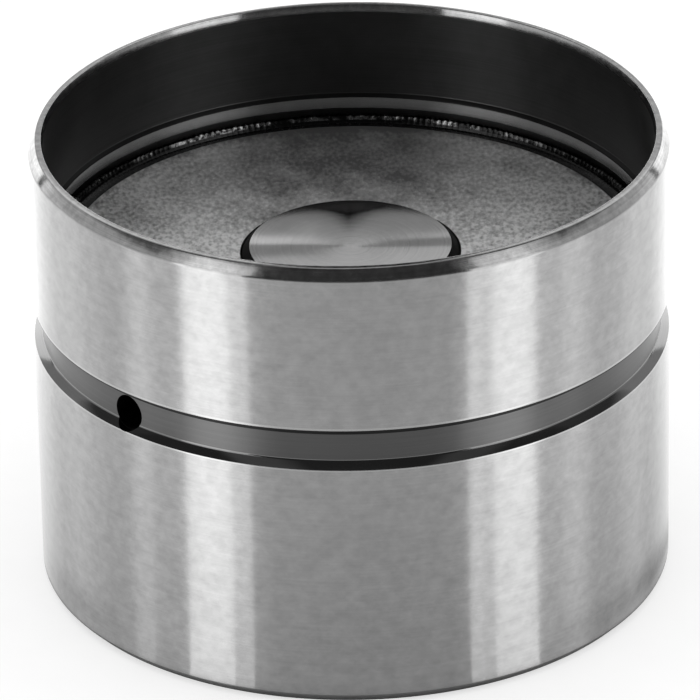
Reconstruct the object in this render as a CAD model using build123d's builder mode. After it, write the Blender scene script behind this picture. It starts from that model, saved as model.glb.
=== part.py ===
from build123d import *
import os
from math import hypot, sqrt

# Hydraulic bucket tappet for an overhead camshaft, in millimetres.
# It stands on its crown, the closed face that the cam runs on. The origin is the middle of
# that face, and +Z is the tappet's axis, pointing out of the open end towards the valve.
# Heights are measured from the crown face.

# Bucket, outside
body_diameter = 35.0
body_height = 26.0
crown_chamfer = 0.5
lead_in_width = 0.42
lead_in_height = 0.62

# Oil groove round the skirt, with its feed hole
groove_height = 14.2
groove_width = 2.4
groove_depth = 0.45
groove_flank = 0.4
feed_hole_diameter = 2.0
feed_hole_rise = 1.0
feed_hole_angle = -134.9

# Bucket, inside
crown_thickness = 3.2
crown_corner = 1.2
skirt_wall = 0.85
mouth_chamfer_width = 0.1
mouth_chamfer_height = 0.4
land_step = 0.2
land_width = 0.7
weld_relief_depth = 0.3
weld_relief_height = 0.7
reservoir_wall = 1.9

# Oil transfer recess in the underside of the crown
transfer_width = 3.0
transfer_depth = 0.9
transfer_overrun = 1.6

# Guide insert: a pressed web with a sleeve drawn down from its middle
web_depth = 7.05
web_thickness = 1.0
web_dish = 0.3
rim_step_width = 0.85
rim_step_depth = 0.25
insert_clearance = 0.05
sleeve_wall = 0.9
sleeve_bend_radius = 1.0
sleeve_lip_chamfer = 0.05

# Weld between the insert's edge and the bucket
weld_toe = 0.15
weld_crown = 0.27
weld_shoulder = 0.3

# Pressure cylinder, which bears on the valve stem with its closed end
cylinder_diameter = 12.0
cylinder_guide_clearance = 0.025
cylinder_floor = 2.0
cylinder_wall = 1.25
cylinder_bore_corner = 0.5
face_chamfer = 0.45
face_stand_out = 0.41
mouth_bevel = 0.3
lash_travel = 2.2
travel_reserve = 0.2

# Snap ring near the cylinder's mouth, which stops it at the sleeve's end
ring_thickness = 0.8
ring_width = 0.9
ring_end_gap = 3.0
ring_groove_depth = 0.5
ring_groove_play = 0.03
ring_groove_to_mouth = 0.5
ring_to_sleeve = 0.05

# Piston, which stands on the crown inside the cylinder
piston_clearance = 0.015
piston_bevel = 0.3
piston_wall = 1.6

# Check valve in the piston's head
ball_diameter = 3.0
ball_lift = 0.3
ball_seat_gap = 0.01
seat_bore_diameter = 2.0
seat_bore_length = 0.4
ball_recess_play = 0.5
ball_centre_below_head = 0.5

# Cap over the ball
cap_sheet = 0.35
cap_play = 0.25
cap_flange_inset = 0.1
cap_corner = 0.2
cap_windows = 3
cap_window_width = 1.2
cap_window_height = 0.5

# Springs, whose end turns are closed and ground flat. The wire is drawn with eight sides.
return_wire = 0.7
return_coil_play = 0.5
return_active_turns = 2
return_reserve = 0.4
ball_spring_wire = 0.18
ball_spring_diameter = 2.2
ball_spring_active_turns = 1
ball_spring_gap = 0.03
closed_turn_gap = 0.05
ground_share = 0.25
wire_sides = 8

# Radii and heights that the pieces share
body_radius = body_diameter / 2
groove_top = groove_height + groove_width
mouth_radius = body_radius - skirt_wall
land_radius = mouth_radius - land_step
relief_radius = land_radius + weld_relief_depth
reservoir_radius = body_radius - reservoir_wall
web_height = body_height - web_depth
seat_height = web_height - web_thickness
relief_top = web_height + weld_relief_height
land_top = relief_top + land_width

insert_radius = land_radius - insert_clearance
web_edge_radius = insert_radius - rim_step_width
rim_step_height = web_height - rim_step_depth
web_middle_height = web_height - web_dish

cylinder_radius = cylinder_diameter / 2
sleeve_bore_radius = cylinder_radius + cylinder_guide_clearance
sleeve_radius = sleeve_bore_radius + sleeve_wall
face_height = web_middle_height + face_stand_out
floor_height = face_height - cylinder_floor
cylinder_bore_radius = cylinder_radius - cylinder_wall
cylinder_mouth_height = crown_thickness + lash_travel + travel_reserve
ring_groove_radius = cylinder_radius - ring_groove_depth
ring_groove_bottom = cylinder_mouth_height + ring_groove_to_mouth
ring_groove_top = ring_groove_bottom + ring_thickness + 2 * ring_groove_play
ring_bottom = ring_groove_bottom + ring_groove_play
sleeve_end_height = ring_bottom + ring_thickness + ring_to_sleeve

closed_turn_pitch = 1 + closed_turn_gap
return_solid_height = return_wire * closed_turn_pitch * (2 + return_active_turns)
chamber_height = cap_sheet + return_solid_height + lash_travel + return_reserve
head_height = floor_height - chamber_height
piston_radius = cylinder_bore_radius - piston_clearance
piston_bore_radius = piston_radius - piston_wall

ball_radius = ball_diameter / 2
ball_centre_height = head_height - ball_centre_below_head
ball_recess_radius = ball_radius + ball_recess_play
cone_tip_height = ball_centre_height - (ball_radius + ball_seat_gap) * sqrt(2)
seat_bore_radius = seat_bore_diameter / 2
seat_bore_top = cone_tip_height + seat_bore_radius
seat_bore_bottom = seat_bore_top - seat_bore_length
cap_bore_radius = ball_radius + cap_play
cap_radius = cap_bore_radius + cap_sheet
cap_flange_radius = piston_radius - piston_bevel - cap_flange_inset
cap_flange_top = head_height + cap_sheet
cap_ceiling_height = ball_centre_height + ball_radius + ball_lift + ball_seat_gap


# The bucket is turned in one piece. Its section runs up the outside from the crown and down
# the inside, past the mouth, the bright land, the weld relief and the insert's seat.
with BuildPart() as bucket:
    with BuildSketch(Plane.XZ):
        with BuildLine():
            Polyline(
                (0, 0),
                (body_radius - crown_chamfer, 0),
                (body_radius, crown_chamfer),
                (body_radius, groove_height),
                (body_radius - groove_depth, groove_height + groove_flank),
                (body_radius - groove_depth, groove_top),
                (body_radius, groove_top),
                (body_radius, body_height - lead_in_height),
                (body_radius - lead_in_width, body_height),
                (mouth_radius + mouth_chamfer_width, body_height),
                (mouth_radius, body_height - mouth_chamfer_height),
                (mouth_radius, land_top + land_step),
                (land_radius, land_top),
                (land_radius, relief_top),
                (relief_radius, relief_top),
                (relief_radius, seat_height),
                (reservoir_radius, seat_height),
                (reservoir_radius, crown_thickness + crown_corner),
                (reservoir_radius - crown_corner, crown_thickness),
                (0, crown_thickness),
                (0, 0),
            )
        make_face()
    revolve(axis=Axis.Z)

    # The feed hole lets oil in from the groove to the reservoir behind the skirt.
    feed_direction = Vector(1, 0, 0).rotate(Axis.Z, feed_hole_angle)
    feed_plane = Plane(
        origin=(0, 0, groove_height + feed_hole_rise), x_dir=(0, 0, 1), z_dir=feed_direction
    )
    with BuildSketch(feed_plane):
        Circle(feed_hole_diameter / 2)
    extrude(amount=body_diameter, mode=Mode.SUBTRACT)

    # The recess carries oil across the crown, from the reservoir to the hollow piston.
    transfer_reach = sleeve_radius + transfer_overrun
    with BuildSketch(Plane.XY.offset(crown_thickness)):
        with Locations((transfer_reach / 2, 0)):
            SlotOverall(transfer_reach + transfer_width, transfer_width)
    extrude(amount=-transfer_depth, mode=Mode.SUBTRACT)
bucket.part.label = "bucket"


# The insert is one pressing. The web dips towards the middle and turns down into the sleeve,
# and its rim is stepped for the weld.
with BuildPart() as guide_insert:
    with BuildSketch(Plane.XZ):
        with BuildLine():
            Polyline(
                (sleeve_bore_radius + sleeve_lip_chamfer, web_middle_height),
                (sleeve_bore_radius, web_middle_height - sleeve_lip_chamfer),
                (sleeve_bore_radius, sleeve_end_height),
                (sleeve_radius, sleeve_end_height),
                (sleeve_radius, seat_height - web_dish - sleeve_bend_radius),
            )
            RadiusArc(
                (sleeve_radius, seat_height - web_dish - sleeve_bend_radius),
                (sleeve_radius + sleeve_bend_radius, seat_height - web_dish),
                sleeve_bend_radius,
            )
            Polyline(
                (sleeve_radius + sleeve_bend_radius, seat_height - web_dish),
                (web_edge_radius - web_thickness, seat_height),
                (insert_radius, seat_height),
                (insert_radius, rim_step_height),
                (web_edge_radius, rim_step_height),
                (web_edge_radius, web_height),
                (sleeve_bore_radius + sleeve_lip_chamfer, web_middle_height),
            )
        make_face()
    revolve(axis=Axis.Z)
guide_insert.part.label = "guide_insert"


# The weld fills the gap between the insert's edge and the relief, and stands over both.
with BuildPart() as weld_seam:
    with BuildSketch(Plane.XZ):
        with BuildLine():
            Polyline(
                (web_edge_radius + weld_toe, rim_step_height),
                (web_edge_radius + weld_toe + weld_shoulder, web_height + weld_crown),
                (relief_radius - weld_shoulder, web_height + weld_crown),
                (relief_radius, web_height),
                (relief_radius, seat_height),
                (insert_radius, seat_height),
                (insert_radius, rim_step_height),
                (web_edge_radius + weld_toe, rim_step_height),
            )
        make_face()
    revolve(axis=Axis.Z)
weld_seam.part.label = "weld_seam"


# The cylinder is closed towards the valve and open towards the crown.
with BuildPart() as pressure_cylinder:
    with BuildSketch(Plane.XZ):
        with BuildLine():
            Polyline(
                (0, face_height),
                (cylinder_radius - face_chamfer, face_height),
                (cylinder_radius, face_height - face_chamfer),
                (cylinder_radius, ring_groove_top),
                (ring_groove_radius, ring_groove_top),
                (ring_groove_radius, ring_groove_bottom),
                (cylinder_radius, ring_groove_bottom),
                (cylinder_radius, cylinder_mouth_height + mouth_bevel),
                (cylinder_radius - mouth_bevel, cylinder_mouth_height),
                (cylinder_bore_radius, cylinder_mouth_height),
                (cylinder_bore_radius, floor_height - cylinder_bore_corner),
                (cylinder_bore_radius - cylinder_bore_corner, floor_height),
                (0, floor_height),
                (0, face_height),
            )
        make_face()
    revolve(axis=Axis.Z)
pressure_cylinder.part.label = "pressure_cylinder"


# The snap ring is flat wire, bent to a circle with a gap between its ends.
ring_inner_radius = ring_groove_radius + ring_groove_play
with BuildPart() as retaining_ring:
    with BuildSketch(Plane.XY.offset(ring_bottom)):
        Circle(ring_inner_radius + ring_width)
        Circle(ring_inner_radius, mode=Mode.SUBTRACT)
        with Locations((-ring_inner_radius - ring_width / 2, 0)):
            Rectangle(2 * ring_width, ring_end_gap, mode=Mode.SUBTRACT)
    extrude(amount=ring_thickness)
retaining_ring.part.label = "retaining_ring"


# The piston is open towards the crown. Its head holds the valve: a bore, a conical seat that
# the ball rests on, and a recess round the ball.
with BuildPart() as piston:
    with BuildSketch(Plane.XZ):
        with BuildLine():
            Polyline(
                (piston_bore_radius, crown_thickness),
                (piston_radius - piston_bevel, crown_thickness),
                (piston_radius, crown_thickness + piston_bevel),
                (piston_radius, head_height - piston_bevel),
                (piston_radius - piston_bevel, head_height),
                (ball_recess_radius, head_height),
                (ball_recess_radius, cone_tip_height + ball_recess_radius),
                (seat_bore_radius, seat_bore_top),
                (seat_bore_radius, seat_bore_bottom),
                (piston_bore_radius, seat_bore_bottom),
                (piston_bore_radius, crown_thickness),
            )
        make_face()
    revolve(axis=Axis.Z)
piston.part.label = "piston"


with BuildPart() as check_ball:
    with Locations((0, 0, ball_centre_height)):
        Sphere(ball_radius)
check_ball.part.label = "check_ball"


# The cap is a pressed hat. Its flange lies on the piston's head under the return spring, its
# top stops the ball, and windows in its wall let the oil through.
with BuildPart() as ball_cap:
    with BuildSketch(Plane.XZ):
        with BuildLine():
            Polyline(
                (0, cap_ceiling_height),
                (cap_bore_radius, cap_ceiling_height),
                (cap_bore_radius, head_height),
                (cap_flange_radius, head_height),
                (cap_flange_radius, cap_flange_top),
                (cap_radius, cap_flange_top),
                (cap_radius, cap_ceiling_height + cap_sheet - cap_corner),
                (cap_radius - cap_corner, cap_ceiling_height + cap_sheet),
                (0, cap_ceiling_height + cap_sheet),
                (0, cap_ceiling_height),
            )
        make_face()
    revolve(axis=Axis.Z)
    window_height = (cap_flange_top + cap_ceiling_height) / 2
    with BuildSketch(Plane.XY.offset(window_height - cap_window_height / 2)):
        with PolarLocations(cap_radius, cap_windows):
            Rectangle(2 * (cap_radius - ball_spring_diameter / 2), cap_window_width)
    extrude(amount=cap_window_height, mode=Mode.SUBTRACT)
ball_cap.part.label = "ball_cap"


def wound_spring(coil_radius, wire, bottom, top, closed_halves, active_turns):
    """A compression spring, ground flat at bottom and top, with closed half turns at its ends.

    Each half turn is an arc whose plane is tipped by its own rise, so the half turns meet
    smoothly whatever their pitch.
    """
    closed_rise = wire * closed_turn_pitch / 2
    first_centre = bottom + wire * ground_share
    last_centre = top - wire * ground_share
    active_halves = 2 * active_turns
    active_rise = (last_centre - first_centre - 2 * closed_halves * closed_rise) / active_halves
    closed_rises = [closed_rise] * closed_halves
    with BuildPart() as spring:
        with BuildLine() as wire_path:
            height = first_centre
            side = 1
            for rise in closed_rises + [active_rise] * active_halves + closed_rises:
                ThreePointArc(
                    (side * coil_radius, 0, height),
                    (0, side * hypot(coil_radius, rise / 2), height + rise / 2),
                    (-side * coil_radius, 0, height + rise),
                )
                height += rise
                side = -side
        with BuildSketch(Plane(origin=(coil_radius, 0, first_centre), z_dir=(0, 1, 0))):
            RegularPolygon(wire / 2, wire_sides)
        sweep(path=wire_path.line)
        with BuildSketch(Plane.XY.offset(bottom)):
            Circle(coil_radius + wire)
        extrude(amount=top - bottom, mode=Mode.INTERSECT)
    return spring


# The return spring stands on the cap's flange and bears on the cylinder's floor.
return_spring = wound_spring(
    coil_radius=cylinder_bore_radius - return_coil_play - return_wire / 2,
    wire=return_wire,
    bottom=cap_flange_top,
    top=floor_height,
    closed_halves=2,
    active_turns=return_active_turns,
)
return_spring.part.label = "return_spring"


# The ball spring stands on the ball's shoulder, inside the cap, and bears on the cap's top.
ball_spring_inside = (ball_spring_diameter - ball_spring_wire) / 2
ball_shoulder_rise = sqrt((ball_radius + ball_spring_gap) ** 2 - ball_spring_inside**2)
ball_spring = wound_spring(
    coil_radius=ball_spring_diameter / 2,
    wire=ball_spring_wire,
    bottom=ball_centre_height + ball_shoulder_rise,
    top=cap_ceiling_height,
    closed_halves=1,
    active_turns=ball_spring_active_turns,
)
ball_spring.part.label = "ball_spring"


pieces = [
    bucket,
    guide_insert,
    weld_seam,
    pressure_cylinder,
    retaining_ring,
    piston,
    check_ball,
    ball_spring,
    ball_cap,
    return_spring,
]
os.makedirs("parts", exist_ok=True)
for piece in pieces:
    export_step(piece.part, f"parts/{piece.part.label}.step")
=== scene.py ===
import math

import bmesh
import bpy
from mathutils import Matrix, Vector, noise


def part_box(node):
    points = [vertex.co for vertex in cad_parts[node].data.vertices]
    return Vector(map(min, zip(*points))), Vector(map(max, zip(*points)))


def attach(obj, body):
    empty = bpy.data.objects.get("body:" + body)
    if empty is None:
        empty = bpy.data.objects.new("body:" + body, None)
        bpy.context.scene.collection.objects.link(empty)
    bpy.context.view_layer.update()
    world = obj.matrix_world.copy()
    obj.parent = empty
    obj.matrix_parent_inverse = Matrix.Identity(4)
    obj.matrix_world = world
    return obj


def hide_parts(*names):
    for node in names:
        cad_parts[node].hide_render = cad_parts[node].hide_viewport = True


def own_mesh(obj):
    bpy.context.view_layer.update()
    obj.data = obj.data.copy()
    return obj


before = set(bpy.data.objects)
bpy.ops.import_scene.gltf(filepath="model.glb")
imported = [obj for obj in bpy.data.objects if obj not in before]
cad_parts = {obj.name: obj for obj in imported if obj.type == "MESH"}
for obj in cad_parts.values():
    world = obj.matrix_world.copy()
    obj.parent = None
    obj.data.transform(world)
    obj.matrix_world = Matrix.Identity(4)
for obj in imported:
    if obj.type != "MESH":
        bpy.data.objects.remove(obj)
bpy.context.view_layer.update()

# The looks of a hydraulic bucket tappet. Lengths are in metres, and the frame is the part's own:
# the origin is the middle of the crown that it stands on, and +Z is its axis.
MM = 0.001
MICRON = 0.000001

# Sizes from the frame
body_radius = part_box("bucket")[1].x
body_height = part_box("bucket")[1].z
insert_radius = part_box("guide_insert")[1].x
web_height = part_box("guide_insert")[1].z
sleeve_end_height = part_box("guide_insert")[0].z
relief_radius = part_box("weld_seam")[1].x
seat_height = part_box("weld_seam")[0].z
weld_crest_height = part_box("weld_seam")[1].z
cylinder_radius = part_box("pressure_cylinder")[1].x
face_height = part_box("pressure_cylinder")[1].z
cylinder_mouth_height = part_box("pressure_cylinder")[0].z
floor_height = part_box("return_spring")[1].z

# Bucket, outside
crown_chamfer = 0.5 * MM
lead_in_width = 0.42 * MM
lead_in_height = 0.62 * MM
groove_height = 14.2 * MM
groove_width = 2.4 * MM
groove_depth = 0.45 * MM
groove_flank = 0.4 * MM
groove_top = groove_height + groove_width
feed_hole_radius = 0.97 * MM
feed_hole_rise = 1.0 * MM
feed_hole_angle = math.radians(-134.9)
groove_shade = 0.42 * MM
groove_lip = 0.09 * MM

# Bucket, inside
crown_thickness = 3.2 * MM
crown_corner = 1.2 * MM
mouth_radius = body_radius - 0.85 * MM
mouth_chamfer_width = 0.1 * MM
mouth_chamfer_height = 0.4 * MM
land_step = 0.2 * MM
land_radius = mouth_radius - land_step
relief_top = web_height + 0.7 * MM
land_top = relief_top + 0.7 * MM
reservoir_radius = body_radius - 1.9 * MM
transfer_width = 3.0 * MM
transfer_depth = 0.9 * MM
transfer_reach = 8.525 * MM

# Guide insert
web_dish = 0.3 * MM
web_edge_radius = insert_radius - 0.85 * MM
# The web's painted shade is darkest round this point, over the middle of its far half, and fades out
# between these two distances from it.
shade_centre = (0, 12 * MM, web_height)
shade_core = 3.5 * MM
shade_reach = 12 * MM
smooth_core = 5 * MM
smooth_reach = 15 * MM
# How far in from the web's edge its painted shade reaches.
edge_shade_width = 0.9 * MM
rim_step_height = web_height - 0.25 * MM
sleeve_bore_radius = cylinder_radius + 0.025 * MM
sleeve_radius = sleeve_bore_radius + 0.9 * MM
sleeve_bend_radius = 1.0 * MM
sleeve_lip_chamfer = 0.05 * MM
seat_width = 1.0 * MM

# Weld
weld_toe = 0.15 * MM
bead_count = 300
bead_height = 0.07 * MM
toe_bottom = rim_step_height + 0.12 * MM
toe_top = rim_step_height + 0.2 * MM
riser_bottom = rim_step_height + 0.29 * MM
riser_top = rim_step_height + 0.33 * MM
# Across the part, the painted glints on the weld's beads grow from a third to full strength between
# these two places.
glint_fade_from = 11 * MM
glint_fade_to = 13.5 * MM

# Pressure cylinder
face_chamfer = 0.45 * MM
face_dish = 0.11 * MM
dish_steps = 10
mouth_bevel = 0.3 * MM
cylinder_bore_radius = cylinder_radius - 1.25 * MM
cylinder_bore_corner = 0.5 * MM
ring_groove_depth = 0.5 * MM
ring_groove_bottom = cylinder_mouth_height + 0.5 * MM
ring_groove_top = ring_groove_bottom + 0.86 * MM

# Meshes
segments = 256
fine_segments = 192
corner_steps = 3
corner_reach = 0.45
on_axis = 1e-9
sharp_angle = math.radians(28)

# Stage
surround_drop = 0.01 * MM
floor_drop = 0.02 * MM
floor_width = 6.0
floor_dark = 0.46
floor_light = 0.5
floor_lift = 0.6

# Camera
camera_place = Vector((-0.13, -348.86, 189.35)) * MM
camera_elevation = math.radians(26.875)
camera_roll = math.radians(-1.045)
camera_lens = 363.93
sensor_width = 36
nearest_seen = 0.01


def rounded(profile):
    """The profile's points, with corners cut round. A point is (radius, height, corner, finish).

    Corner is the size of the rounding at that point, and finish the material of the stretch
    that follows it.
    """
    points = []
    count = len(profile)
    for index, (radius, height, corner, finish) in enumerate(profile):
        here = Vector((radius, height))
        before_finish = profile[index - 1][3]
        if corner == 0:
            points.append((here, finish))
            continue
        before = Vector(profile[index - 1][:2]) - here
        after = Vector(profile[(index + 1) % count][:2]) - here
        reach = min(corner, before.length * corner_reach, after.length * corner_reach)
        first = here + before.normalized() * reach
        last = here + after.normalized() * reach
        for step in range(corner_steps + 1):
            share = step / corner_steps
            place = first.lerp(here, share).lerp(here.lerp(last, share), share)
            points.append((place, finish if step == corner_steps else before_finish))
    return points


def smooth(mesh):
    """Shades the mesh smooth, apart from its sharp edges."""
    mesh.shade_smooth()
    mesh.set_sharp_from_angle(angle=sharp_angle)


def crisp(piece):
    """Keeps large faces evenly shaded right up to the small roundings beside them."""
    modifier = piece.modifiers.new("normals", "WEIGHTED_NORMAL")
    modifier.keep_sharp = True


def mesh_of(name, shape):
    """The shape as a mesh, with its faces turned outwards."""
    bmesh.ops.recalc_face_normals(shape, faces=shape.faces)
    mesh = bpy.data.meshes.new(name)
    shape.to_mesh(mesh)
    shape.free()
    return mesh


def new_piece(name, mesh, finishes):
    """An object of that mesh, with its materials."""
    piece = bpy.data.objects.new(name, mesh)
    bpy.context.scene.collection.objects.link(piece)
    for finish in finishes:
        mesh.materials.append(finish)
    return piece


def turned(name, profile, finishes, around=segments):
    """A solid of revolution about the axis, from its closed section."""
    points = rounded(profile)
    shape = bmesh.new()
    rings = []
    for place, _ in points:
        if place.x < on_axis:
            rings.append([shape.verts.new((0, 0, place.y))])
            continue
        ring = []
        for turn in range(around):
            angle = math.tau * turn / around
            ring.append(shape.verts.new((place.x * math.cos(angle), place.x * math.sin(angle), place.y)))
        rings.append(ring)
    for index, ring in enumerate(rings):
        following = rings[(index + 1) % len(rings)]
        if len(ring) == 1 and len(following) == 1:
            continue
        for turn in range(around):
            after = (turn + 1) % around
            corners = [ring[turn % len(ring)], ring[after % len(ring)]]
            corners += [following[after % len(following)], following[turn % len(following)]]
            face = shape.faces.new(list(dict.fromkeys(corners)))
            face.material_index = points[index][1]
    mesh = mesh_of(name, shape)
    smooth(mesh)
    return new_piece(name, mesh, finishes)


def cut(piece, cutter_mesh, finish_index):
    """Takes the cutter's shape out of the piece. The cut faces get the finish of that index."""
    cutter = new_piece("cutter", cutter_mesh, list(piece.data.materials))
    for face in cutter_mesh.polygons:
        face.material_index = finish_index
    modifier = piece.modifiers.new("cut", "BOOLEAN")
    modifier.operation = "DIFFERENCE"
    modifier.solver = "EXACT"
    modifier.object = cutter
    depsgraph = bpy.context.evaluated_depsgraph_get()
    mesh = bpy.data.meshes.new_from_object(piece.evaluated_get(depsgraph))
    mesh.name = piece.name
    piece.modifiers.remove(modifier)
    piece.data = mesh
    bpy.data.objects.remove(cutter)
    smooth(mesh)


class Finish:
    """A node material, put together node by node. An input is a value or another node's output."""

    def __init__(self, name):
        self.material = bpy.data.materials.new(name)
        self.material.use_nodes = True
        self.tree = self.material.node_tree
        self.tree.nodes.clear()

    def node(self, kind, inputs, output=0, **settings):
        made = self.tree.nodes.new(kind)
        for setting, value in settings.items():
            setattr(made, setting, value)
        for socket, value in inputs.items():
            if isinstance(value, bpy.types.NodeSocket):
                self.tree.links.new(value, made.inputs[socket])
            else:
                made.inputs[socket].default_value = value
        return made.outputs[output] if made.outputs else None

    def place(self):
        """Where a point is in the part's frame, in metres."""
        return self.node("ShaderNodeTexCoord", {}, "Object")

    def axis(self, vector, name):
        """One of the place's three coordinates, X, Y or Z."""
        return self.node("ShaderNodeSeparateXYZ", {0: vector}, name)

    def stretched(self, vector, around, along):
        """The place counted in features: around of them per metre across, along per metre of height."""
        return self.node(
            "ShaderNodeVectorMath", {0: vector, 1: (around, around, along)}, operation="MULTIPLY"
        )

    def noise(self, vector, detail=2.0, roughness=0.5, scale=1.0):
        inputs = {"Vector": vector, "Scale": scale, "Detail": detail, "Roughness": roughness}
        return self.node("ShaderNodeTexNoise", inputs, "Fac")

    def math(self, operation, first, second):
        return self.node("ShaderNodeMath", {0: first, 1: second}, operation=operation)

    def spread(self, value, low, high, new_low=0.0, new_high=1.0):
        """The value from low to high, laid out from new_low to new_high."""
        inputs = {0: value, 1: low, 2: high, 3: new_low, 4: new_high}
        return self.node("ShaderNodeMapRange", inputs)

    def radius(self, vector):
        """How far a place is from the part's axis."""
        flat = self.node(
            "ShaderNodeVectorMath", {0: vector, 1: (1, 1, 0)}, operation="MULTIPLY"
        )
        return self.node("ShaderNodeVectorMath", {0: flat}, "Value", operation="LENGTH")

    def colour(self, value, dark, light):
        """Greys from dark to light, as the value goes from 0 to 1."""
        ramp = self.tree.nodes.new("ShaderNodeValToRGB")
        ramp.color_ramp.elements[0].color = (*dark, 1)
        ramp.color_ramp.elements[1].color = (*light, 1)
        self.tree.links.new(value, ramp.inputs[0])
        return ramp.outputs[0]

    def bump(self, height, depth, under=None):
        inputs = {"Height": height, "Distance": depth, "Strength": 1.0}
        if under is not None:
            inputs["Normal"] = under
        return self.node("ShaderNodeBump", inputs)

    def output(self, shader):
        """Finishes the material with that shader."""
        self.node("ShaderNodeOutputMaterial", {"Surface": shader})
        return self.material

    def glowing(self, brightness):
        """A plain light of that brightness."""
        return self.output(self.node("ShaderNodeEmission", {"Strength": brightness}))

    def metal(self, colour, roughness, normal, anisotropic=0.0, rotation=0.0, metallic=1.0):
        """Metal. With a rotation of 0.25 its reflections stretch across its marks, not along them."""
        inputs = {
            "Base Color": colour,
            "Metallic": metallic,
            "Roughness": roughness,
            "Normal": normal,
            "Anisotropic": anisotropic,
            "Anisotropic Rotation": rotation,
        }
        if anisotropic:
            inputs["Tangent"] = self.node(
                "ShaderNodeTangent", {}, direction_type="RADIAL", axis="Z"
            )
        return self.output(self.node("ShaderNodeBsdfPrincipled", inputs))


def grey(level):
    return (level, level, level)


def ground_finish():
    """Centreless ground steel: fine lines round the skirt, and faint blotches."""
    finish = Finish("ground_steel")
    place = finish.place()
    lines = finish.noise(finish.stretched(place, around=120, along=12000), detail=4.0, roughness=0.7)
    blotches = finish.noise(finish.stretched(place, around=1300, along=1700), detail=5.0, roughness=0.6)
    lines_share = finish.math("MULTIPLY", lines, 0.3)
    tone = finish.math("ADD", lines_share, finish.math("MULTIPLY", blotches, 0.7))
    colour = finish.colour(finish.spread(tone, 0.34, 0.66), grey(0.365), grey(0.475))
    roughness = finish.spread(blotches, 0.3, 0.7, 0.155, 0.185)
    normal = finish.bump(lines, 0.3 * MICRON)
    normal = finish.bump(blotches, 1.6 * MICRON, normal)
    return finish.metal(colour, roughness, normal, anisotropic=1.0, rotation=0.25)


def turned_finish(
    name, dark, light, rough_low, rough_high, pitch=14000, spots=500, anisotropic=0.8, metallic=1.0
):
    """Turned metal: lathe marks round the axis, pitch of them per metre, and cloudy spots."""
    finish = Finish(name)
    place = finish.place()
    marks = finish.noise(finish.stretched(place, around=60, along=pitch), detail=3.0, roughness=0.6)
    clouds = finish.noise(finish.stretched(place, around=spots, along=spots), detail=4.0, roughness=0.6)
    tone = finish.math("ADD", finish.math("MULTIPLY", marks, 0.5), finish.math("MULTIPLY", clouds, 0.5))
    colour = finish.colour(finish.spread(tone, 0.3, 0.7), grey(dark), grey(light))
    roughness = finish.spread(clouds, 0.3, 0.7, rough_low, rough_high)
    normal = finish.bump(marks, 1.0 * MICRON)
    return finish.metal(
        colour, roughness, normal, anisotropic=anisotropic, rotation=0.25, metallic=metallic
    )


def web_finish():
    """Pressed sheet after heat treatment: dull and mottled, with fine pits. It is smoother in the middle
    of its far half. Painted shade darkens that middle, and the web's edge beside the weld."""
    finish = Finish("pressed_steel")
    place = finish.place()
    clouds = finish.noise(finish.stretched(place, around=380, along=380), detail=4.0, roughness=0.5)
    grain_place = finish.node(
        "ShaderNodeVectorMath", {0: place, 1: (4300, 2700, 4300)}, operation="MULTIPLY"
    )
    grain = finish.noise(grain_place, detail=2.0, roughness=0.5)
    pits = finish.spread(grain, 0.6, 0.7)
    from_shade_centre = finish.node(
        "ShaderNodeVectorMath", {0: place, 1: shade_centre}, "Value", operation="DISTANCE"
    )
    rawness = finish.spread(from_shade_centre, smooth_core, smooth_reach, 0.28, 1.0)
    spots = finish.math("MULTIPLY", finish.math("SUBTRACT", grain, 0.5), rawness)
    # Painted shade, darkest round the middle of the web's far half.
    painted_shade = finish.spread(from_shade_centre, shade_core, shade_reach, -0.2, 0.06)
    # Painted shade along the web's edge, beside the weld.
    edge_shade_start = web_edge_radius - edge_shade_width
    edge_shade = finish.spread(finish.radius(place), edge_shade_start, web_edge_radius, 0.0, 0.16)
    painted_shade = finish.math("SUBTRACT", painted_shade, edge_shade)
    tone = finish.math("ADD", finish.math("MULTIPLY", clouds, 0.35), spots)
    tone = finish.math("ADD", tone, painted_shade)
    colour = finish.colour(finish.spread(tone, -0.08, 0.34), grey(0.25), grey(0.95))
    roughness = finish.spread(clouds, 0.3, 0.7, 0.38, 0.48)
    normal = finish.bump(spots, 14 * MICRON)
    normal = finish.bump(finish.math("SUBTRACT", 1.0, pits), 12 * MICRON, normal)
    return finish.metal(colour, roughness, normal, metallic=0.88)


def face_finish():
    """The cylinder's end face, faced on a lathe: fine rings that shine in a bow tie."""
    finish = Finish("turned_face")
    place = finish.place()
    radius = finish.radius(place)
    rings = finish.noise(
        finish.node("ShaderNodeCombineXYZ", {0: finish.math("MULTIPLY", radius, 9000)}),
        detail=2.0,
        roughness=0.6,
    )
    clouds = finish.noise(finish.stretched(place, around=500, along=500), detail=2.0)
    tone = finish.math("ADD", finish.math("MULTIPLY", rings, 0.6), finish.math("MULTIPLY", clouds, 0.4))
    colour = finish.colour(finish.spread(tone, 0.3, 0.7), grey(0.45), grey(0.61))
    roughness = finish.spread(clouds, 0.3, 0.7, 0.036, 0.042)
    normal = finish.bump(rings, 0.5 * MICRON)
    return finish.metal(colour, roughness, normal, anisotropic=1.0, rotation=0.25)


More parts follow.
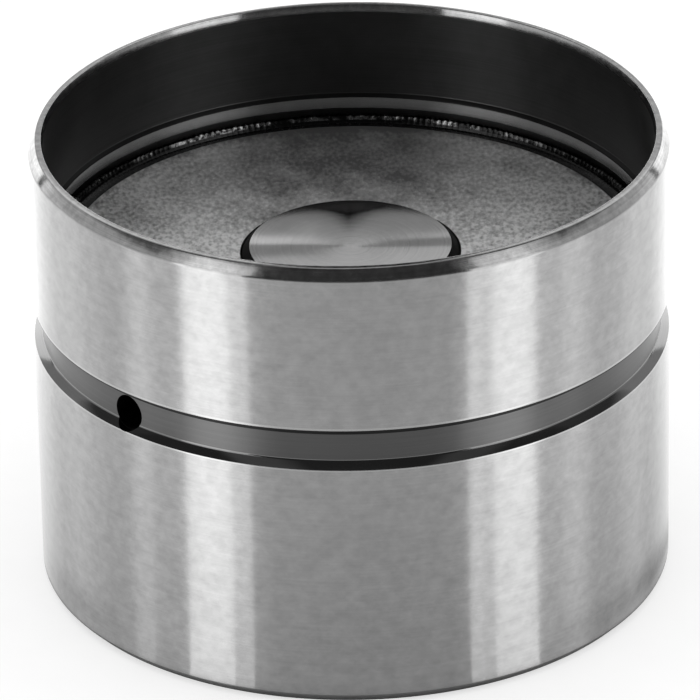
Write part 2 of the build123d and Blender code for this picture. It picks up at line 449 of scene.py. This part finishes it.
def weld_finish():
    """Weld metal, with painted glints on the rise of the beads, most of all on the far side. It is a
    little lighter at the toe, and black elsewhere: partly its own dark oxide, partly painted shade."""
    finish = Finish("weld_metal")
    place = finish.place()
    specks = finish.noise(finish.stretched(place, around=3500, along=3500), detail=3.0, roughness=0.6)
    height = finish.axis(place, "Z")
    runs = finish.noise(finish.stretched(place, around=1100, along=1100), detail=1.0)
    # Painted glints: light on the rise of the beads, in dashes, strongest on the far side.
    riser = finish.spread(height, riser_bottom, riser_top)
    toe = finish.spread(height, toe_top, toe_bottom, 0.0, 0.15)
    scale = finish.math("MULTIPLY", finish.spread(specks, 0.4, 0.55), finish.spread(runs, 0.42, 0.56))
    glint_share = finish.spread(finish.axis(place, "Y"), glint_fade_from, glint_fade_to, 0.3, 1.0)
    glints = finish.math("MULTIPLY", finish.math("MULTIPLY", riser, scale), glint_share)
    glints_and_toe = finish.math("MAXIMUM", glints, toe)
    colour = finish.colour(glints_and_toe, grey(0.025), grey(0.4))
    roughness = finish.spread(specks, 0.3, 0.7, 0.16, 0.3)
    return finish.metal(colour, roughness, finish.bump(specks, 6 * MICRON))


def hole_finish():
    """The feed hole's drilled wall, painted nearly black: painted shade for the inside of the hole."""
    finish = Finish("drilled_steel")
    place = finish.place()
    specks = finish.noise(finish.stretched(place, around=3000, along=3000), detail=3.0)
    colour = finish.colour(finish.spread(specks, 0.3, 0.7), grey(0.008), grey(0.02))
    roughness = finish.spread(specks, 0.3, 0.7, 0.45, 0.6)
    return finish.metal(colour, roughness, finish.bump(specks, 3 * MICRON))


# The finishes of the pieces that have several, in the order in which they are given to them
GROUND, GROOVE, FLANK, DARK, SHADE, EDGE, LAND, RIM, FOOT, DRILLED = range(10)
PRESSED, PRESSED_SHADE, PRESSED_DARK = range(3)
FACE, SIDE, FACE_EDGE = range(3)


def bucket(finishes):
    """The bucket: skirt with its oil groove, rim, inner wall with the bright land, and crown."""
    edge = 0.04 * MM
    soft = 0.08 * MM
    groove_corner = 0.07 * MM
    lip_bevel = 1.6 * soft
    profile = [
        (0, 0, 0, GROUND),
        (body_radius - crown_chamfer, 0, edge, FOOT),
        (body_radius, crown_chamfer, soft, GROUND),
        (body_radius, groove_height - edge, 0, EDGE),
        (body_radius - edge / 2, groove_height + edge, 0, FLANK),
        (body_radius - groove_depth, groove_height + groove_flank, groove_corner, GROOVE),
        (body_radius - groove_depth, groove_top - groove_shade, 0, SHADE),
        (body_radius - groove_depth, groove_top - groove_lip, 0, SHADE),
        (body_radius - edge, groove_top - groove_lip, 0, SHADE),
        (body_radius - edge / 2, groove_top, 0, EDGE),
        (body_radius, groove_top + lip_bevel, 0, GROUND),
        (body_radius, body_height - lead_in_height, soft, RIM),
        (body_radius - lead_in_width, body_height, soft, RIM),
        (mouth_radius + mouth_chamfer_width, body_height, edge, RIM),
        (mouth_radius, body_height - mouth_chamfer_height, edge, DARK),
        (mouth_radius, land_top + land_step, edge, SHADE),
        (land_radius, land_top, edge, LAND),
        (land_radius, relief_top, edge, DARK),
        (relief_radius, relief_top, 0, DARK),
        (relief_radius, seat_height, 0, DARK),
        (reservoir_radius, seat_height, 0, DARK),
        (reservoir_radius, crown_thickness + crown_corner, 0, DARK),
        (reservoir_radius - crown_corner, crown_thickness, 0, DARK),
        (0, crown_thickness, 0, DARK),
    ]
    piece = turned("bucket_turned", profile, finishes)
    cut(piece, feed_hole_cutter(), DRILLED)
    cut(piece, transfer_cutter(), DARK)
    crisp(piece)
    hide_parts("bucket")
    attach(piece, "bucket_body")


def feed_hole_cutter():
    """A pin along the feed hole, with a flare at the groove that breaks the hole's edge."""
    flare = 0.01 * MM
    groove_floor = body_radius - groove_depth
    past_wall = 1 * MM
    sections = [
        (reservoir_radius - past_wall, feed_hole_radius),
        (groove_floor - flare, feed_hole_radius),
        (groove_floor + flare, feed_hole_radius + 2 * flare),
        (body_radius + past_wall, feed_hole_radius + 2 * flare),
    ]
    around = 48
    height = groove_height + feed_hole_rise
    turn = Matrix.Translation((0, 0, height)) @ Matrix.Rotation(feed_hole_angle, 4, "Z")
    shape = bmesh.new()
    rings = []
    for reach, radius in sections:
        ring = []
        for step in range(around):
            angle = math.tau * step / around
            place = Vector((reach, radius * math.cos(angle), radius * math.sin(angle)))
            ring.append(shape.verts.new(turn @ place))
        rings.append(ring)
    for ring, following in zip(rings, rings[1:]):
        for step in range(around):
            after = (step + 1) % around
            shape.faces.new([ring[step], ring[after], following[after], following[step]])
    shape.faces.new(rings[0])
    shape.faces.new(rings[-1])
    return mesh_of("feed_hole", shape)


def transfer_cutter():
    """A round-ended slot across the middle of the crown's inner face."""
    around = 24
    past_face = 1 * MM
    half_width = transfer_width / 2
    outline = []
    for centre, first_angle in ((transfer_reach, -90), (0, 90)):
        for step in range(around + 1):
            angle = math.radians(first_angle + 180 * step / around)
            outline.append((centre + half_width * math.cos(angle), half_width * math.sin(angle)))
    shape = bmesh.new()
    low = [shape.verts.new((x, y, crown_thickness - transfer_depth)) for x, y in outline]
    high = [shape.verts.new((x, y, crown_thickness + past_face)) for x, y in outline]
    for index in range(len(outline)):
        after = (index + 1) % len(outline)
        shape.faces.new([low[index], low[after], high[after], high[index]])
    shape.faces.new(low)
    shape.faces.new(high)
    return mesh_of("transfer_recess", shape)


def guide_insert(finishes):
    """The pressed web and its sleeve."""
    edge = 0.05 * MM
    middle = web_height - web_dish
    under = seat_height - web_dish
    profile = [
        (sleeve_bore_radius + sleeve_lip_chamfer, middle, 0, PRESSED_SHADE),
        (sleeve_bore_radius, middle - sleeve_lip_chamfer, 0, PRESSED_SHADE),
        (sleeve_bore_radius, sleeve_end_height, edge, PRESSED),
        (sleeve_radius, sleeve_end_height, edge, PRESSED),
    ]
    bend_steps = 8
    for step in range(bend_steps + 1):
        angle = math.pi * (1 - step / bend_steps / 2)
        radius = sleeve_radius + sleeve_bend_radius + sleeve_bend_radius * math.cos(angle)
        height = under - sleeve_bend_radius + sleeve_bend_radius * math.sin(angle)
        profile.append((radius, height, 0, PRESSED))
    profile += [
        (web_edge_radius - seat_width, seat_height, 0, PRESSED_DARK),
        (insert_radius, seat_height, 0, PRESSED_DARK),
        (insert_radius, rim_step_height, 0, PRESSED_DARK),
        (web_edge_radius, rim_step_height, 0, PRESSED_DARK),
        (web_edge_radius, web_height, edge, PRESSED),
    ]
    piece = turned("guide_insert_pressed", profile, finishes)
    crisp(piece)
    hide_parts("guide_insert")
    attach(piece, "bucket_body")


def weld_seam(finish):
    """The weld, with a bead for each pulse of the welder. Their heights differ from bead to bead,
    and swell and sink slowly round the seam."""
    inner = web_edge_radius + weld_toe
    across = (0, 0.2, 0.46, 0.5, 0.54, 0.58, 0.62, 0.68, 0.78, 0.9, 1)
    riser_start = 0.46
    riser_end = 0.63
    fall_width = 0.2
    toe_share = 0.12
    usual_size = 0.6
    own_size = 0.6
    slow_size = 0.5
    own_pitch = 7.31
    slow_pitch = 0.21
    steps_per_bead = 8
    around = bead_count * steps_per_bead
    hidden_edge = [
        (relief_radius, seat_height),
        (insert_radius, seat_height),
        (insert_radius, rim_step_height),
    ]
    shape = bmesh.new()
    rows = []
    for turn in range(around):
        angle = math.tau * turn / around
        bead = turn / steps_per_bead
        phase = bead % 1
        number = int(bead)
        size = usual_size + own_size * noise.noise(Vector((number * own_pitch, 0.5, 0.5)))
        size += slow_size * noise.noise(Vector((number * slow_pitch, 0.5, 4.5)))
        ripple = (1 - (2 * phase - 1) ** 2) * bead_height * size
        row = []
        for share in across:
            radius = inner + (relief_radius - inner) * share
            rise = min(max((share - riser_start) / (riser_end - riser_start), 0), 1)
            fall = min((1 - share) / fall_width, 1)
            swell = toe_share * math.sin(min(share / riser_start, 1) * math.pi / 2)
            arch = fall * (swell + (1 - toe_share) * rise * rise * (3 - 2 * rise))
            edge_height = rim_step_height + (web_height - rim_step_height) * share
            crest = weld_crest_height - bead_height - (rim_step_height + web_height) / 2
            height = edge_height + arch * (crest + ripple)
            row.append(shape.verts.new((radius * math.cos(angle), radius * math.sin(angle), height)))
        for radius, height in hidden_edge:
            row.append(shape.verts.new((radius * math.cos(angle), radius * math.sin(angle), height)))
        rows.append(row)
    for turn, row in enumerate(rows):
        following = rows[(turn + 1) % around]
        for step in range(len(row)):
            after = (step + 1) % len(row)
            shape.faces.new([row[step], row[after], following[after], following[step]])
    mesh = mesh_of("weld_beads", shape)
    smooth(mesh)
    piece = new_piece("weld_beads", mesh, [finish])
    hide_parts("weld_seam")
    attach(piece, "bucket_body")


def pressure_cylinder(finishes):
    """The cylinder that bears on the valve stem."""
    edge = 0.05 * MM
    groove_radius = cylinder_radius - ring_groove_depth
    face_radius = cylinder_radius - face_chamfer
    profile = []
    for step in range(dish_steps):
        share = step / dish_steps
        profile.append((face_radius * share, face_height - face_dish * (1 - share ** 2), 0, FACE))
    profile += [
        (face_radius, face_height, 0, FACE_EDGE),
        (cylinder_radius, face_height - face_chamfer, edge, SIDE),
        (cylinder_radius, ring_groove_top, edge, SIDE),
        (groove_radius, ring_groove_top, 0, SIDE),
        (groove_radius, ring_groove_bottom, 0, SIDE),
        (cylinder_radius, ring_groove_bottom, edge, SIDE),
        (cylinder_radius, cylinder_mouth_height + mouth_bevel, edge, SIDE),
        (cylinder_radius - mouth_bevel, cylinder_mouth_height, edge, SIDE),
        (cylinder_bore_radius, cylinder_mouth_height, edge, SIDE),
        (cylinder_bore_radius, floor_height - cylinder_bore_corner, 0, SIDE),
        (cylinder_bore_radius - cylinder_bore_corner, floor_height, 0, SIDE),
        (0, floor_height, 0, SIDE),
    ]
    piece = turned("pressure_cylinder_turned", profile, finishes, around=fine_segments)
    crisp(piece)
    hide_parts("pressure_cylinder")
    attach(piece, "cylinder_body")


def spring(node, wire):
    """The node's spring, as a copy of its own mesh in the wire finish."""
    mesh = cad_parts[node].data.copy()
    mesh.materials.clear()
    piece = new_piece(node + "_wound", mesh, [wire])
    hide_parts(node)
    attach(piece, "bucket_body")
    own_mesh(piece)


def springs(wire):
    """The return spring stands on its lower end. The ball spring bears on its upper end."""
    spring("return_spring", wire)
    spring("ball_spring", wire)


def inner_finishes(wire):
    """The pieces inside keep their own meshes, and get finishes of their own."""
    hardened = turned_finish("hardened_steel", 0.5, 0.6, 0.12, 0.2, pitch=20000, anisotropic=0.5)
    sheet = turned_finish("cap_sheet", 0.4, 0.5, 0.25, 0.35, pitch=6000, anisotropic=0.0)
    for node, finish in {
        "retaining_ring": wire,
        "piston": hardened,
        "check_ball": hardened,
        "ball_cap": sheet,
    }.items():
        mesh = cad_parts[node].data
        mesh.materials.clear()
        mesh.materials.append(finish)


# What the part reflects, by the direction in degrees in which the skirt mirrors the view. The
# front half of the skirt shows them all once, from its left edge (-270) to its right edge (90).
# A row is a direction, the brightness up to it and the brightness from it on; between two
# directions the brightness changes evenly.
floor_glow = [
    (-270, 1.9, 1.9),
    (-258, 1.9, 1.9),
    (-237, 1.45, 1.45),
    (-223, 1.14, 1.14),
    (-210, 1.16, 1.16),
    (-188, 0.87, 0.87),
    (-179, 0.9, 0.9),
    (-176, 1.2, 1.2),
    (-168, 1.25, 1.0),
    (-160, 0.93, 0.93),
    (-152.8, 1.0, 1.95),
    (-145, 2.05, 2.05),
    (-134.7, 1.95, 1.4),
    (-127.4, 1.4, 0.84),
    (-118, 0.7, 0.7),
    (-85, 0.64, 0.64),
    (-56, 0.66, 0.66),
    (-48.8, 0.76, 1.42),
    (-43.8, 1.42, 1.3),
    (-39, 1.3, 1.75),
    (-30, 1.9, 1.9),
    (-21.2, 1.9, 0.95),
    (-12, 1.0, 1.0),
    (-7, 1.2, 1.2),
    (-1, 1.22, 1.22),
    (4, 0.98, 0.98),
    (8, 0.87, 0.87),
    (20, 0.95, 0.95),
    (33, 1.2, 1.2),
    (45, 1.08, 1.08),
    (56, 1.38, 1.38),
    (78, 1.9, 1.9),
    (90, 1.9, 1.9),
]
wall_glow = [
    (-270, 2.0, 2.0),
    (-226, 1.8, 0.1),
    (-222.5, 0.1, 1.4),
    (-216, 0.8, 0.8),
    (-180, 0.8, 0.8),
    (-152.8, 0.8, 1.7),
    (-134.7, 1.7, 1.4),
    (-127.4, 1.4, 0.1),
    (-48.8, 0.1, 1.3),
    (-21.2, 1.5, 0.7),
    (8, 0.4, 0.4),
    (41, 0.9, 0.1),
    (44, 0.1, 1.5),
    (48, 1.7, 1.7),
    (90, 2.0, 2.0),
]
upper_glow = [
    (-270, 0.62, 0.62),
    (-235, 0.5, 0.5),
    (-212, 0.5, 0.5),
    (-185, 0.55, 0.55),
    (-166, 0.62, 0.62),
    (-152.8, 0.7, 1.6),
    (-134.7, 1.6, 1.2),
    (-127.4, 1.2, 0.05),
    (-48.8, 0.05, 1.2),
    (-21.2, 1.4, 0.75),
    (-8, 0.6, 0.6),
    (8, 0.45, 0.45),
    (40, 0.6, 0.6),
    (60, 0.5, 0.5),
    (90, 0.62, 0.62),
]
high_glow = [
    (-270, 1.0, 1.0),
    (-225, 1.1, 1.1),
    (-205, 0.08, 0.08),
    (-166, 0.1, 0.1),
    (-157, 0.7, 0.7),
    (-152.8, 0.75, 1.3),
    (-134.7, 1.3, 1.0),
    (-127.4, 1.0, 0.05),
    (-48.8, 0.05, 0.2),
    (-42.3, 0.2, 1.0),
    (-21.2, 1.2, 0.8),
    (-14, 0.7, 0.7),
    (-5, 0.12, 0.12),
    (25, 0.08, 0.08),
    (45, 1.1, 1.1),
    (90, 1.0, 1.0),
]
ceiling_glow = [
    (-270, 0.3, 0.3),
    (-256, 0.3, 0.5),
    (-208, 0.4, 0.4),
    (-198, 0.06, 0.06),
    (-158, 0.05, 0.05),
    (-152, 0.18, 0.18),
    (-132, 0.16, 0.16),
    (-118, 0.05, 0.05),
    (-46, 0.05, 0.05),
    (-38, 0.14, 0.14),
    (-22, 0.14, 0.14),
    (-12, 0.05, 0.05),
    (15, 0.06, 0.06),
    (27, 0.4, 0.4),
    (76, 0.5, 0.3),
    (90, 0.3, 0.3),
]
zenith_glow = [(-270, 0.5, 0.5), (90, 0.5, 0.5)]

surround_distance = 0.5
elevation_step = 2
direction_step = 4
first_direction = -270
last_direction = 90

# The share of the floor's brightness that is left close to the part, by the same directions.
# Behind the part the tent closes from its last direction back to its first.
even_share = [(-270, 1.0, 1.0), (90, 1.0, 1.0)]
side_share = [
    (-270, 0.72, 0.72),
    (-250, 0.76, 0.76),
    (-238, 0.86, 0.86),
    (-229, 0.87, 0.87),
    (-210, 1.0, 1.0),
    (30, 1.0, 1.0),
    (48, 0.87, 0.87),
    (60, 0.83, 0.83),
    (72, 0.77, 0.77),
    (90, 0.72, 0.72),
]
foot_share = [
    (-270, 0.72, 0.72),
    (-250, 0.74, 0.74),
    (-229, 0.68, 0.68),
    (-210, 0.64, 0.64),
    (-192, 0.85, 0.85),
    (-180, 1.0, 1.0),
    (-20, 1.0, 1.0),
    (-8, 0.74, 0.74),
    (20, 0.68, 0.68),
    (34, 0.5, 0.5),
    (48, 0.33, 0.33),
    (60, 0.38, 0.38),
    (90, 0.42, 0.42),
]

# How the floor's brightness falls off towards the part: how far from it, the share that is left
# in all directions, and the share by direction.
floor_falloff = [
    (1.0 * MM, 0.75, side_share),
    (2.8 * MM, 0.757, foot_share),
    (6.0 * MM, 0.786, side_share),
    (28.0 * MM, 0.98, side_share),
    (34.0 * MM, 1.0, even_share),
    (surround_distance, 1.0, even_share),
]


def only_reflected(piece):
    """Makes the piece part of the stage, seen only in what mirrors it."""
    piece.visible_camera = False
    piece.visible_diffuse = False
    piece.visible_transmission = False
    piece.visible_shadow = False


def value_at(table, direction, below):
    """The table's value in that direction: the one up to it if below is true, else the one from it."""
    for (first, _, start), (last, end, _) in zip(table, table[1:]):
        if first < direction < last or direction == (last if below else first):
            return start + (end - start) * (direction - first) / (last - first)
    return table[0][2]


def surround():
    """The tent round the part, seen only in reflections: its floor, wall and ceiling.

    Each column runs out from the point of the skirt that mirrors it, so that its streak on the
    skirt stands upright.
    """
    bands = [(reach, 0.0, floor_glow, base, share) for reach, base, share in floor_falloff]
    # The lowest and highest elevation in degrees, and what shines between them
    stages = (
        (0, 14, wall_glow),
        (14, 30, upper_glow),
        (30, 46, high_glow),
        (46, 78, ceiling_glow),
        (78, 90, zenith_glow),
    )
    for low, high, table in stages:
        for elevation in range(low, high + 1, elevation_step):
            angle = math.radians(elevation)
            reach = surround_distance * math.cos(angle)
            bands.append((reach, surround_distance * math.sin(angle), table, 1.0, even_share))
    tables = [floor_glow, side_share, foot_share] + [table for _, _, table in stages]
    edges = {direction for table in tables for direction, _, _ in table}
    directions = sorted(edges | set(range(first_direction, last_direction + 1, direction_step)))
    shape = bmesh.new()
    glow = shape.loops.layers.float.new("glow")
    rows = []
    for reach, height, _, _, _ in bands:
        row = []
        for direction in directions:
            outward = math.radians(direction)
            start = math.radians((direction - 90) / 2)
            x = body_radius * math.cos(start) + reach * math.cos(outward)
            y = body_radius * math.sin(start) + reach * math.sin(outward)
            row.append(shape.verts.new((x, y, height)))
        rows.append(row)
    for index in range(len(bands) - 1):
        table = bands[index][2]
        for step in range(len(directions)):
            after = (step + 1) % len(directions)
            start_glow = value_at(table, directions[step], False)
            end_glow = value_at(table, directions[after], True)
            if after == 0:
                start_glow = end_glow = table[0][1]
            corners = []
            for band, place, brightness in (
                (index, step, start_glow),
                (index, after, end_glow),
                (index + 1, after, end_glow),
                (index + 1, step, start_glow),
            ):
                _, _, _, base, share = bands[band]
                left = base * value_at(share, directions[place], False)
                corners.append((rows[band][place], left * brightness))
            face = shape.faces.new([vert for vert, _ in corners])
            for loop, (_, brightness) in zip(face.loops, corners):
                loop[glow] = brightness
    mesh = bpy.data.meshes.new("surround")
    shape.to_mesh(mesh)
    shape.free()
    tent = Finish("surround")
    brightness = tent.node("ShaderNodeAttribute", {}, "Fac", attribute_name="glow")
    piece = new_piece("surround", mesh, [tent.glowing(brightness)])
    piece.location.z = -surround_drop
    only_reflected(piece)


def rear_cards():
    """Cards behind the part, the nearest one first. The black one is mirrored by the far side of the
    end face, and the others to the left and right of its middle and over its far half. A card is
    its brightness and its outline, in millimetres across and up."""
    first_distance = 60 * MM
    spacing = 0.3 * MM
    cards = [
        (
            0.0,
            [(-0.05, 49.35), (0.5, 50.0), (0.85, 50.5), (1.2, 51.0), (1.8, 52.2), (8.5, 52.6)]
            + [(8.5, 95), (-5.9, 95), (-5.9, 52.6), (-1.7, 52.2), (-1.2, 51.0), (-0.85, 50.5)]
            + [(-0.5, 50.0)],
        ),
        (0.29, [(-0.1, 48.55), (-6, 48.6), (-6, 47.7), (-1.1, 47.8)]),
        (0.8, [(-0.3, 48.7), (-2, 48.75), (-6, 48.75), (-6, 49.25), (-1.5, 49.25)]),
        (0.28, [(0.1, 48.55), (1.2, 48.55), (6, 48.55), (6, 49.1), (1.5, 49.1)]),
        (0.33, [(-6, 49.3), (0, 49.5), (6, 49.65), (6, 52.6), (-6, 52.6)]),
    ]
    for number, (brightness, outline) in enumerate(cards):
        away = first_distance + number * spacing
        name = f"rear_card_{number}"
        mesh = bpy.data.meshes.new(name)
        corners = [(x * MM, away, z * MM) for x, z in outline]
        mesh.from_pydata(corners, [], [tuple(range(len(corners)))])
        only_reflected(new_piece(name, mesh, [Finish(name).glowing(brightness)]))


def floor():
    """A white floor that keeps the part's shadow."""
    half = floor_width / 2
    corners = [(-half, -half, 0), (half, -half, 0), (half, half, 0), (-half, half, 0)]
    mesh = bpy.data.meshes.new("floor")
    mesh.from_pydata(corners, [], [(0, 1, 2, 3)])
    white = Finish("floor")
    grain = white.noise(white.place(), detail=2.0, scale=400.0)
    colour = white.colour(grain, grey(floor_dark), grey(floor_light))
    matt = white.node("ShaderNodeBsdfDiffuse", {"Color": colour})
    seen = white.node("ShaderNodeLightPath", {}, "Is Camera Ray")
    lift = white.node("ShaderNodeEmission", {"Strength": white.math("MULTIPLY", seen, floor_lift)})
    shader = white.node("ShaderNodeAddShader", {0: matt, 1: lift})
    piece = new_piece("floor", mesh, [white.output(shader)])
    piece.location.z = -floor_drop


def studio():
    """The surround, the floor and a plain white light from all sides."""
    surround()
    rear_cards()
    floor()
    world = bpy.data.worlds.new("studio")
    world.use_nodes = True
    background = world.node_tree.nodes["Background"]
    background.inputs["Color"].default_value = (1, 1, 1, 1)
    background.inputs["Strength"].default_value = 1.0
    bpy.context.scene.world = world


def camera():
    """The photograph's camera, from the fit of its perspective."""
    data = bpy.data.cameras.new("camera")
    data.lens = camera_lens
    data.sensor_width = sensor_width
    data.clip_start = nearest_seen
    made = bpy.data.objects.new("camera", data)
    bpy.context.scene.collection.objects.link(made)
    pitch = Matrix.Rotation(math.pi / 2 - camera_elevation, 4, "X")
    made.matrix_world = Matrix.Translation(camera_place) @ pitch @ Matrix.Rotation(camera_roll, 4, "Z")
    bpy.context.scene.camera = made


ground = ground_finish()
groove = turned_finish("groove_floor", 0.115, 0.15, 0.28, 0.34)
flank = turned_finish("groove_flank", 0.2, 0.24, 0.08, 0.1)
# The dark wall's near-black is partly a dark oxide finish and partly painted shade for the unlit inside
# and the relief under the land.
dark_wall = turned_finish("dark_wall", 0.085, 0.12, 0.34, 0.42, anisotropic=0.5)
shade = turned_finish("shaded_corner", 0.02, 0.032, 0.3, 0.4, anisotropic=0.0)
# Lighter than the skirt: a painted highlight on the small bevels at the edges.
bright_edge = turned_finish("bright_edge", 0.5, 0.58, 0.2, 0.26)
bright_land = turned_finish("bright_land", 0.36, 0.5, 0.2, 0.28, metallic=0.9)
rim = turned_finish("rim", 0.3, 0.62, 0.12, 0.18, spots=2200)
foot = turned_finish("foot_chamfer", 0.26, 0.32, 0.3, 0.36)
drilled = hole_finish()
pressed = web_finish()
face = face_finish()
side = turned_finish("turned_side", 0.46, 0.54, 0.2, 0.28)
wire = turned_finish("drawn_wire", 0.25, 0.4, 0.3, 0.42, pitch=3000, anisotropic=0.0)
# Nearly black: painted shade for the gap round the cylinder's face.
face_edge = turned_finish("turned_chamfer", 0.02, 0.03, 0.6, 0.7, anisotropic=0.0)

bucket([ground, groove, flank, dark_wall, shade, bright_edge, bright_land, rim, foot, drilled])
guide_insert([pressed, shade, dark_wall])
weld_seam(weld_finish())
pressure_cylinder([face, side, face_edge])
springs(wire)
inner_finishes(wire)
studio()
camera()

bpy.context.scene.view_settings.view_transform = "Standard"
